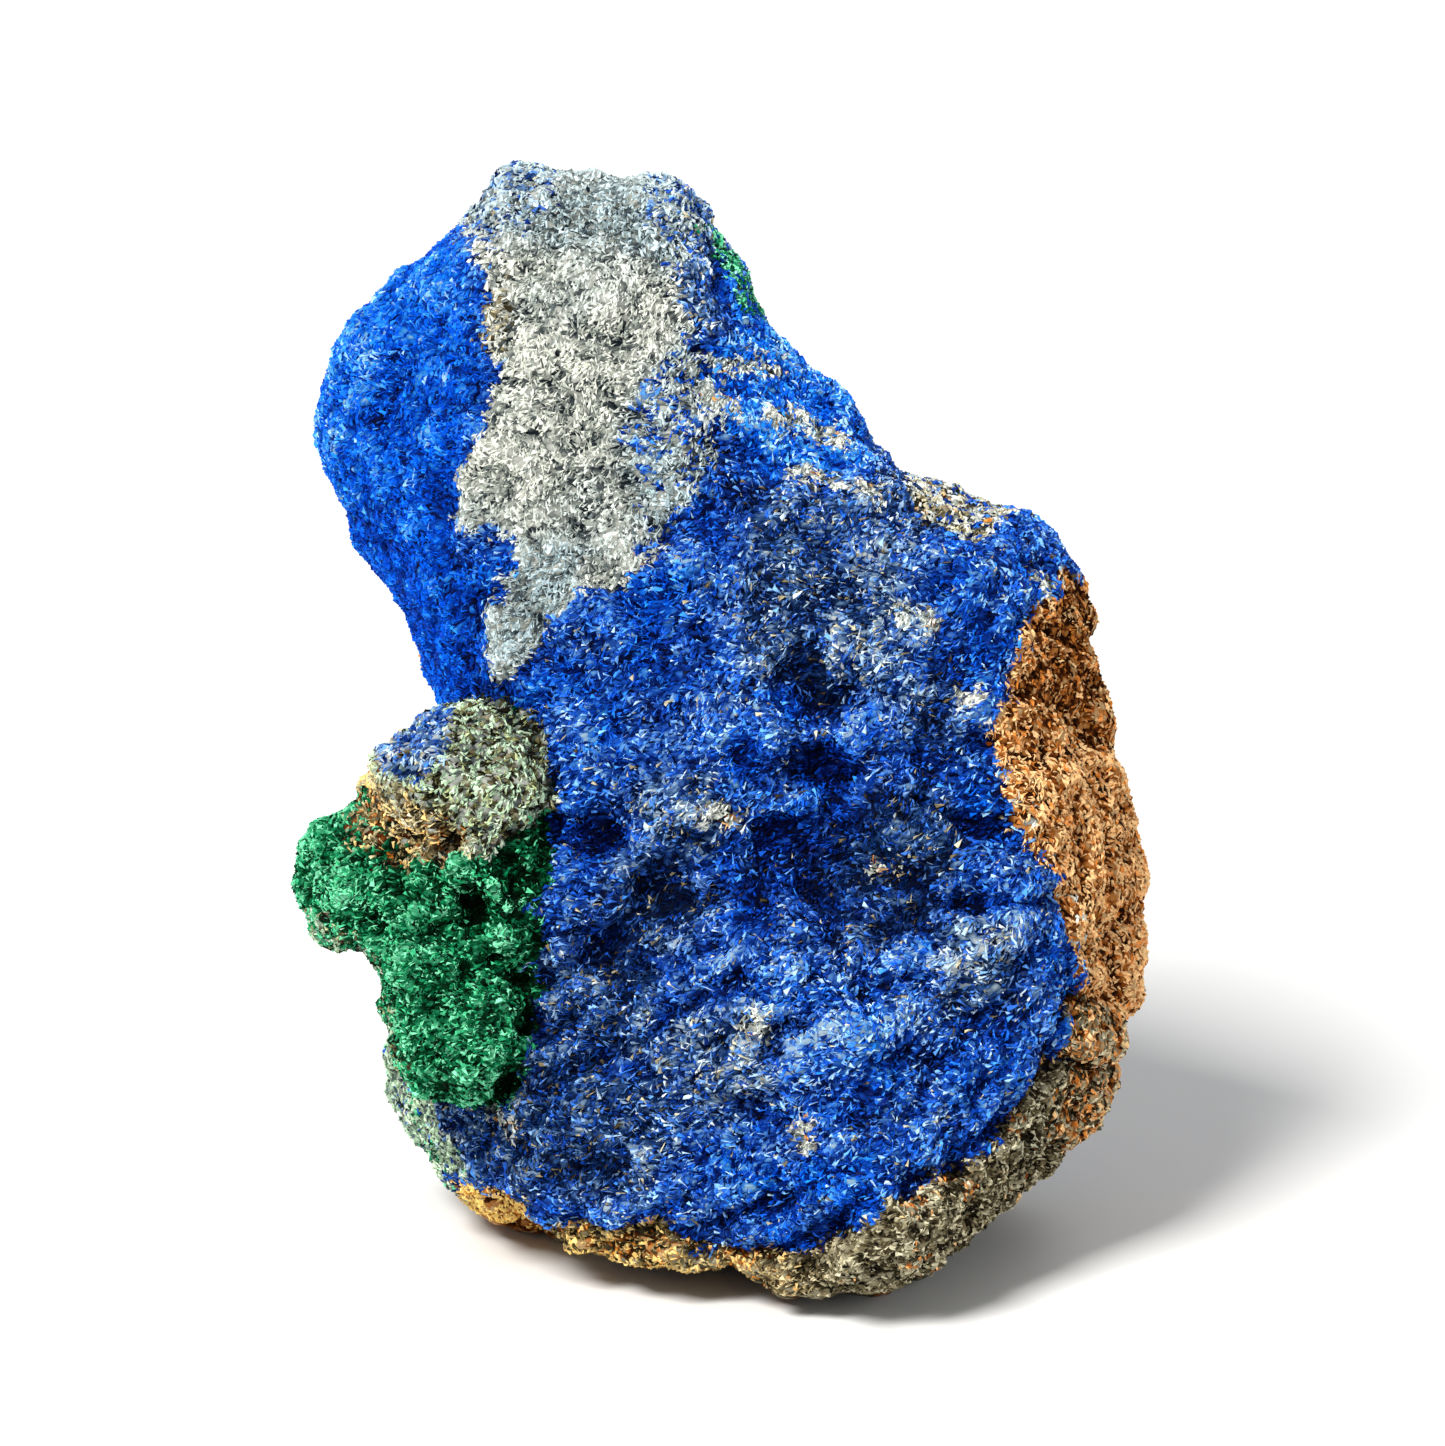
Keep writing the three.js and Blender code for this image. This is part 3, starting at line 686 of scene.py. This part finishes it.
def ramp(tree, amount, stops):
    """A colour ramp through (place, colour) stops."""
    new = add_node(tree, "ValToRGB", {"Fac": amount})
    elements = new.color_ramp.elements
    while len(elements) < len(stops):
        elements.new(0.5)
    for element, (place, colour) in zip(elements, stops):
        element.position = place
        element.color = (*colour, 1)
    return new.outputs["Color"]


def multiply_add(tree, value, factor, addend):
    inputs = {0: value, 1: factor, 2: addend}
    return add_node(tree, "Math", inputs, operation="MULTIPLY_ADD").outputs[0]


def mix_colours(tree, amount, first, second, blend="MIX"):
    inputs = {0: amount, 6: first, 7: second}
    return add_node(tree, "Mix", inputs, data_type="RGBA", blend_type=blend).outputs[2]


AZURITE_STOPS = [
    (0.08, (0.0002, 0.0015, 0.02)), (0.28, (0.0004, 0.009, 0.13)), (0.46, (0.0006, 0.05, 0.46)),
    (0.62, (0.0015, 0.13, 0.82)), (0.76, (0.015, 0.27, 0.98)), (0.90, (0.11, 0.45, 1.0)),
    (1.0, (0.42, 0.72, 1.0)),
]
SLATE_STOPS = [
    (0.08, (0.0004, 0.003, 0.02)), (0.28, (0.0015, 0.013, 0.065)), (0.46, (0.012, 0.05, 0.18)),
    (0.62, (0.07, 0.16, 0.36)), (0.76, (0.25, 0.4, 0.6)), (0.90, (0.54, 0.68, 0.8)),
    (1.0, (0.78, 0.85, 0.88)),
]
MATRIX_STOPS = [
    (0.12, (0.01, 0.018, 0.025)), (0.34, (0.12, 0.145, 0.148)), (0.55, (0.46, 0.49, 0.43)),
    (0.85, (0.87, 0.88, 0.8)),
]
TAN_STOPS = [
    (0.15, (0.008, 0.006, 0.003)), (0.40, (0.07, 0.052, 0.024)), (0.60, (0.26, 0.21, 0.11)),
    (0.9, (0.72, 0.65, 0.44)),
]
LIMONITE_STOPS = [
    (0.15, (0.02, 0.004, 0.0006)), (0.38, (0.2, 0.045, 0.004)), (0.58, (0.84, 0.29, 0.05)),
    (0.88, (1.0, 0.65, 0.31)),
]
MALACHITE_STOPS = [
    (0.12, (0.0002, 0.007, 0.0015)), (0.36, (0.0006, 0.05, 0.014)), (0.58, (0.002, 0.21, 0.075)),
    (0.82, (0.075, 0.6, 0.28)), (1.0, (0.24, 0.8, 0.47)),
]

# The ground under the grains: small swirled cells, each of one mineral, with broader patches,
# all darkened as painted shade in the gaps between the grains.
SWIRLS_PER_M = 300.0
SWIRL_REACH = 2 * MM
CELLS_PER_M = 3400.0
CELL_TURN = math.radians(30)
CELL_SQUEEZE = (0.5, 1, 1)
PATCHES_PER_M = 240.0
CELL_HEIGHT = 0.14 * MM
GROUND_PAINTED_SHADE = (0.42, 0.42, 0.42, 1)
GROUND_ROUGHNESS = 0.8
SHINE = 0.05
LOWEST_LEVEL = 0.12

ground = bpy.data.materials.new("mineral ground")
ground.use_nodes = True
tree = ground.node_tree
where = add_node(tree, "TexCoord").outputs["Object"]
swirl = add_node(
    tree, "TexNoise", {"Vector": where, "Scale": SWIRLS_PER_M, "Detail": 1.0},
).outputs[1]
swirled = add_node(
    tree, "VectorMath", {0: swirl, 1: (SWIRL_REACH, SWIRL_REACH, SWIRL_REACH), 2: where},
    operation="MULTIPLY_ADD",
).outputs[0]
turned = add_node(
    tree, "Mapping", {"Vector": swirled, "Rotation": (0, CELL_TURN, 0), "Scale": CELL_SQUEEZE},
).outputs[0]
cells = add_node(tree, "TexVoronoi", {"Vector": turned, "Scale": CELLS_PER_M})
speckle, lot = add_node(tree, "SeparateColor", {"Color": cells.outputs["Color"]}).outputs[:2]
gap = cells.outputs["Distance"]
patches = add_node(
    tree, "TexNoise",
    {"Vector": where, "Scale": PATCHES_PER_M, "Detail": 3.0, "Roughness": 0.6},
).outputs[0]


def kept(name):
    return add_node(tree, "Attribute", attribute_name=name).outputs["Fac"]


# The level takes in relief and crease: painted highlight on raised forms and painted shade in
# hollows and creases.
level = LOWEST_LEVEL
for output, amount in (
    (speckle, 0.6), (gap, -0.35), (patches, 0.4), (kept("relief"), 0.2), (kept("crease"), 0.8),
):
    level = multiply_add(tree, output, amount, level)
blue_level = level
# pale adds lighter blue and painted highlight on raised knobs, deep adds deeper blue and painted
# shade in pits and towards the bottom of the left facet, and facet draws the left facet, which faces
# the light, lighter as painted light.
for output, amount in ((kept("pale"), 0.14), (kept("deep"), -0.16), (kept("facet"), 0.1)):
    blue_level = multiply_add(tree, output, amount, blue_level)
blue = ramp(tree, blue_level, AZURITE_STOPS)
slate = ramp(tree, blue_level, SLATE_STOPS)
colour = mix_colours(tree, kept("weathered"), blue, slate)

# A cell is of the first mineral whose share, with those before it, is more than the cell's lot.
layers = []
summed = 0.0
for name, stops in (
    ("matrix", MATRIX_STOPS), ("tan", TAN_STOPS), ("limonite", LIMONITE_STOPS),
    ("malachite", MALACHITE_STOPS),
):
    summed = multiply_add(tree, kept(name), 1.0, summed)
    layers.append((summed, stops))
for summed, stops in reversed(layers):
    there = add_node(tree, "Math", {0: lot, 1: summed}, operation="LESS_THAN").outputs[0]
    colour = mix_colours(tree, there, colour, ramp(tree, level, stops))
shader = tree.nodes["Principled BSDF"]
# Painted shade: the ground is darkened all over so that the gaps between the grains look shadowed.
with_painted_gap_shade = mix_colours(tree, 1.0, colour, GROUND_PAINTED_SHADE, "MULTIPLY")
tree.links.new(with_painted_gap_shade, shader.inputs["Base Color"])
shader.inputs["Roughness"].default_value = GROUND_ROUGHNESS
shader.inputs["Specular IOR Level"].default_value = SHINE
height = multiply_add(tree, gap, -1.0, 1.0)
bump = add_node(tree, "Bump", {"Height": height, "Strength": 0.8, "Distance": CELL_HEIGHT})
tree.links.new(bump.outputs[0], shader.inputs["Normal"])
stone.data.materials.clear()
stone.data.materials.append(ground)
stone.data.polygons.foreach_set("use_smooth", np.ones(len(stone.data.polygons), bool))
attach(stone, "root")
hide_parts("stone")

# Azurite grains: the sugary blue crust. Each grain is a small three-sided crystal, its base sunk
# into the stone, lying roughly along the grain of the vein. One crystal is modelled, and copies
# of it, none alike, are joined in one mesh for the front and one for the back.
SEED = 20
AZURITE_GRAINS = 90000
AZURITE_SIZE = (0.56, 0.18, 0.17)
AZURITE_TURN = 0.4
AZURITE_MIDDLE = 0.465
AZURITE_UNEVEN = 0.23
AZURITE_LIVELIER = {"facet": -0.35, "pale": 0.3, "deep": -0.2}
# pale, deep, facet, relief and crease paint light and shade into the grains: highlights on raised
# knobs and on the left facet, which faces the light, and shade in pits, hollows and creases.
AZURITE_ADDS = {
    "pale": 0.1, "deep": -0.1, "facet": 0.11, "relief": 0.14, "crease": 0.6, "mottle": 0.05,
}
# On the left facet, relief and crease paint stronger light and shade on its bumps and dips.
FACET_ADDS = {"relief": 0.12, "crease": 0.4, "mottle": 0.07}
AZURITE_ROUGHNESS = 0.5
WEATHERING_RANGE = (0.2, 1.4)
TAN_AMONG_BLUE = 0.07
TAN_LIGHTER_BY = 0.1

# The crystal: a cone of three sides, made 1 wide, 1 long and 1 high, about a third of it sunk in.
TRIANGLE_WIDTH = 0.866
TRIANGLE_LENGTH = 0.75
CRYSTAL_SHIFT = (0, -0.12, 0.15)
random = np.random.default_rng(SEED)
deselect_all()
bpy.ops.mesh.primitive_cone_add(vertices=3, radius1=0.5, depth=1, end_fill_type="NGON")
crystal = bpy.context.object
bpy.ops.object.mode_set(mode="EDIT")
bpy.ops.mesh.select_all(action="SELECT")
bpy.ops.transform.resize(value=(1 / TRIANGLE_WIDTH, 1 / TRIANGLE_LENGTH, 1))
bpy.ops.transform.translate(value=CRYSTAL_SHIFT)
bpy.ops.object.mode_set(mode="OBJECT")
CRYSTAL_CORNERS = vertex_places(crystal.data)
CRYSTAL_FACES = np.array([list(polygon.vertices) for polygon in crystal.data.polygons])
bpy.data.objects.remove(crystal)

# The stone's quads, on which the grains stand: none on those that face down at the foot.
FOOT_BAND = 1.5 * MM
FACING_DOWN = -0.7
LOWEST_GRAIN = 0.5 * MM
quads = np.array([list(polygon.vertices) for polygon in stone.data.polygons])
quad_middle = places[quads].mean(1)
quad_normal = smooth_normals[quads].mean(1) + normals[quads].mean(1)
quad_normal /= np.linalg.norm(quad_normal, axis=1)[:, None]
across = places[quads[:, 2]] - places[quads[:, 0]], places[quads[:, 3]] - places[quads[:, 1]]
quad_area = np.linalg.norm(np.cross(*across), axis=1) / 2 / MM**2
underneath = (quad_middle[:, 2] < FOOT_BAND) & (quad_normal[:, 2] < FACING_DOWN)
open_quads = (quad_middle[:, 2] > LOWEST_GRAIN) & ~underneath
quad_tone = {name: values[quads].mean(1) for name, values in tones.items()}
pick = random.random(len(quads))
below = np.zeros(len(quads))
quad_mineral = np.full(len(quads), "azurite", dtype="U12")
for name in MINERALS:
    above = below + shares[name][quads].mean(1)
    quad_mineral[(pick >= below) & (pick < above)] = name
    below = above


def through_stops(stops, level):
    """Colours along a list of (place, colour) stops."""
    at = [place for place, _ in stops]
    return np.stack([np.interp(level, at, [colour[i] for _, colour in stops]) for i in range(3)], 1)


def choose(mineral, count):
    """Quads of a mineral, chosen by area."""
    candidates = np.flatnonzero(open_quads & (quad_mineral == mineral))
    odds = quad_area[candidates] / quad_area[candidates].sum()
    return random.choice(candidates, count, p=odds)


def added_up(tone, adds):
    """What the tones of the ground add for each grain, in the given amounts."""
    return sum(amount * tone[name] for name, amount in adds.items())


def grain_levels(tone, middle, uneven, adds, livelier=1):
    """Where each grain stands on its mineral's colour stops: uneven around a middle."""
    scatter = random.normal(0, uneven, len(tone["mottle"])) * livelier
    return scatter + middle + added_up(tone, adds)


def tones_of(chosen):
    """The tones of the ground under the chosen grains."""
    return {name: values[chosen] for name, values in quad_tone.items()}


def tinted(colours, amounts, tint):
    """Colours leaning to a tint, each by its amount from 0 to 1."""
    return colours * (1 + amounts[:, None] * (np.array(tint) - 1))


# How the crystals lean and turn, how unlike they are, and a crystal's face on the bake map.
# Sizes scatter as powers of e, turns are in radians, and level is across the upright axis.
LEAN = 0.16
UPRIGHT = (0.05, 0.1, 1.0)
SWIRLING = 1.2
TURN_SCATTER = 0.75
SIZE_SCATTER = 0.25
SIZE_LIMITS = (-0.5, 0.45)
CORNER_SCATTER = 0.14
MAP_TRIANGLE = np.array([(0.15, 0.15), (0.85, 0.15), (0.5, 0.85)])


def give_bake_map(mesh, count):
    """A UV map on which each crystal has a cell of its own."""
    cells = math.ceil(math.sqrt(count))
    cell = np.stack([np.arange(count) % cells, np.arange(count) // cells], 1)
    every_face = np.zeros((1, len(CRYSTAL_FACES), 1, 1))
    on_map = (cell[:, None, None] + MAP_TRIANGLE[None, None] + every_face) / cells
    bake_map = mesh.uv_layers.new(name="OFBake")
    bake_map.data.foreach_set("uv", on_map.astype(np.float32).ravel())


def lay_grains(name, chosen, colours, grain_size, turn):
    """One joined mesh of crystals, one on each chosen quad, of a length, width and height in mm.

    They lie in swirls around the given turn from level, in radians."""
    long, wide, high = grain_size
    count = len(chosen)
    corners_each = len(CRYSTAL_CORNERS)
    corner_mix = random.dirichlet((1, 1, 1, 1), count)
    middle = (places[quads[chosen]] * corner_mix[:, :, None]).sum(1)
    normal = quad_normal[chosen] + random.normal(0, LEAN, (count, 3))
    normal /= np.linalg.norm(normal, axis=1)[:, None]
    turns = turn + SWIRLING * rough(middle, "grain swirl") + random.normal(0, TURN_SCATTER, count)
    sideways = np.cross(UPRIGHT, normal)
    sideways /= np.linalg.norm(sideways, axis=1)[:, None]
    upwards = np.cross(normal, sideways)
    length = np.cos(turns)[:, None] * sideways + np.sin(turns)[:, None] * upwards
    width = np.cross(length, normal)
    larger = np.clip(random.normal(0, SIZE_SCATTER, (count, 1, 1)), *SIZE_LIMITS)
    stray = random.uniform(-CORNER_SCATTER, CORNER_SCATTER, (count, corners_each, 3))
    shape = (CRYSTAL_CORNERS[None] + stray) * (np.exp(larger) * MM) * np.array([wide, long, high])
    corners = middle[:, None] + shape[:, :, 0:1] * width[:, None]
    corners += shape[:, :, 1:2] * length[:, None] + shape[:, :, 2:3] * normal[:, None]
    first_corners = corners_each * np.arange(count)
    faces = (CRYSTAL_FACES[None] + first_corners[:, None, None]).reshape(-1, 3)
    mesh = bpy.data.meshes.new(name)
    mesh.from_pydata(corners.reshape(-1, 3).tolist(), [], faces.tolist())
    tint = mesh.attributes.new("tint", "FLOAT_COLOR", "POINT")
    at_corners = np.repeat(colours, corners_each, 0)
    with_alpha = np.concatenate([at_corners, np.ones((len(at_corners), 1))], 1)
    tint.data.foreach_set("color", with_alpha.astype(np.float32).ravel())
    give_bake_map(mesh, count)
    piece = bpy.data.objects.new(name, mesh)
    bpy.context.collection.objects.link(piece)
    return piece


FLECKS_PER_M = 5000.0
FLECK_STOPS = [(0.3, (0.6, 0.6, 0.6)), (0.7, (1.25, 1.25, 1.25))]


def grain_material(name, roughness, specular):
    """The colour of each grain, broken up by fine flecks."""
    material = bpy.data.materials.new(name)
    material.use_nodes = True
    tree = material.node_tree
    shader = tree.nodes["Principled BSDF"]
    tint = add_node(tree, "Attribute", attribute_name="tint").outputs["Color"]
    where = add_node(tree, "TexCoord").outputs["Object"]
    flecks = add_node(
        tree, "TexNoise", {"Vector": where, "Scale": FLECKS_PER_M, "Detail": 2.0},
    ).outputs[0]
    shade = ramp(tree, flecks, FLECK_STOPS)
    tree.links.new(mix_colours(tree, 1.0, tint, shade, "MULTIPLY"), shader.inputs["Base Color"])
    shader.inputs["Roughness"].default_value = roughness
    shader.inputs["Specular IOR Level"].default_value = specular
    return material


chosen = choose("azurite", AZURITE_GRAINS)
tone = tones_of(chosen)
livelier = 1 + added_up(tone, AZURITE_LIVELIER)
level = grain_levels(tone, AZURITE_MIDDLE, AZURITE_UNEVEN, AZURITE_ADDS, livelier)
level += tone["facet"] * added_up(tone, FACET_ADDS)
blue = through_stops(AZURITE_STOPS, level)
slate = through_stops(SLATE_STOPS, level)
weathered = tone["weathered"] * random.uniform(*WEATHERING_RANGE, AZURITE_GRAINS)
colours = blue + (slate - blue) * np.clip(weathered, 0, 1)[:, None]
tan_ones = random.random(AZURITE_GRAINS) < TAN_AMONG_BLUE * tone["weathered"]
colours[tan_ones] = through_stops(TAN_STOPS, level[tan_ones] + TAN_LIGHTER_BY)
azurite_stone = grain_material("azurite grains", AZURITE_ROUGHNESS, SHINE)
nearness = front_view(quad_middle[chosen])[2]
nearer = nearness > np.median(nearness)
for name, part in (("azurite_front_grains", nearer), ("azurite_back_grains", ~nearer)):
    azurite = lay_grains(name, chosen[part], colours[part], AZURITE_SIZE, AZURITE_TURN)
    azurite.data.materials.append(azurite_stone)
    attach(azurite, "root")

# Malachite grains: the green crust of the nodule, its left lobe made brightest by painted light, of
# the patch on the hump, also lightened by painted light, and of the patches on the back, in shorter
# grains than the azurite's.
MALACHITE_GRAINS = 24000
MALACHITE_SIZE = (0.46, 0.18, 0.17)
MALACHITE_TURN = 0.0
MALACHITE_MIDDLE = 0.55
MALACHITE_UNEVEN = 0.38
# relief and crease paint highlights on raised lobes and shade in creases.
MALACHITE_ADDS = {"mottle": 0.06, "relief": 0.3, "crease": 1.1, "nodule": -0.18}
MALACHITE_ROUGHNESS = 0.55
LEFT_LOBE_U = -17
LEFT_LOBE_PAINTED_LIGHT = 0.14
GREEN_PATCH_PAINTED_LIGHT = 0.1
chosen = choose("malachite", MALACHITE_GRAINS)
tone = tones_of(chosen)
level = grain_levels(tone, MALACHITE_MIDDLE, MALACHITE_UNEVEN, MALACHITE_ADDS)
# Painted light: the left lobe of the nodule and the green patch are drawn lighter.
left_lobe = share(LEFT_LOBE_U - front_view(quad_middle[chosen])[0], 2.0)
level += LEFT_LOBE_PAINTED_LIGHT * left_lobe * tone["nodule"]
level += GREEN_PATCH_PAINTED_LIGHT * tone["pale"] * (1 - tone["nodule"])
colours = through_stops(MALACHITE_STOPS, level)
malachite = lay_grains("malachite_grains", chosen, colours, MALACHITE_SIZE, MALACHITE_TURN)
malachite.data.materials.append(grain_material("malachite grains", MALACHITE_ROUGHNESS, SHINE))
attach(malachite, "root")

# Limonite grains: the rusty crust of the right flank, dark at its top and bright below, of the
# yellower spot at the left end of the foot, and of patches on the back.
LIMONITE_GRAINS = 24000
LIMONITE_SIZE = (0.52, 0.18, 0.17)
LIMONITE_TURN = -0.95
LIMONITE_MIDDLE = 0.87
LIMONITE_UNEVEN = 0.43
# relief and crease paint highlights on raised forms and shade in creases; dark_flank is less where
# ochre lies, a painted light.
LIMONITE_ADDS = {"mottle": 0.05, "relief": 0.2, "crease": 0.9, "dark_flank": -0.6}
LIMONITE_ROUGHNESS = 0.8
OCHRE = (1.0, 1.12, 0.75)
chosen = choose("limonite", LIMONITE_GRAINS)
tone = tones_of(chosen)
level = grain_levels(tone, LIMONITE_MIDDLE, LIMONITE_UNEVEN, LIMONITE_ADDS)
colours = tinted(through_stops(LIMONITE_STOPS, level), tone["ochre"], OCHRE)
limonite = lay_grains("limonite_grains", chosen, colours, LIMONITE_SIZE, LIMONITE_TURN)
limonite.data.materials.append(grain_material("limonite grains", LIMONITE_ROUGHNESS, SHINE))
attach(limonite, "root")

# Matrix grains: the pale streak down the hump, grey at its top and tail and cream between, and
# the tan of the rim along the foot, of the nodule's cap and of the back. Both have dull grains of
# one shape, and each is a mesh of its own.
MATRIX_SIZE = (0.52, 0.18, 0.17)
MATRIX_ROUGHNESS = 0.75
MATRIX_SHINE = 0.06
MATRIX_LIVELIER = {"bluish": 0.2, "olive": 0.25}
# relief and crease paint highlights on raised forms and shade in creases.
MATRIX_ADDS = {
    "mottle": 0.07, "olive": -0.14, "relief": 0.2, "crease": 0.8, "ochre": 0.06, "bluish": -0.09,
}
TAN_ADDS = {**MATRIX_ADDS, "sandy": 0.25}
MATRIX_TINTS = {"bluish": (0.72, 0.86, 1.0), "olive": (0.78, 1.0, 0.78), "ochre": (1.0, 0.82, 0.42)}
for name, mineral, count, stops, adds, middle, uneven, turn in (
    ("streak_grains", "matrix", 26000, MATRIX_STOPS, MATRIX_ADDS, 0.69, 0.18, 0.9),
    ("rim_grains", "tan", 20000, TAN_STOPS, TAN_ADDS, 0.42, 0.31, 0.35),
):
    chosen = choose(mineral, count)
    tone = tones_of(chosen)
    livelier = 1 + added_up(tone, MATRIX_LIVELIER)
    colours = through_stops(stops, grain_levels(tone, middle, uneven, adds, livelier))
    for tone_name, tint in MATRIX_TINTS.items():
        colours = tinted(colours, tone[tone_name], tint)
    grains = lay_grains(name, chosen, colours, MATRIX_SIZE, turn)
    dull = grain_material(name.replace("_", " "), MATRIX_ROUGHNESS, MATRIX_SHINE)
    grains.data.materials.append(dull)
    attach(grains, "root")
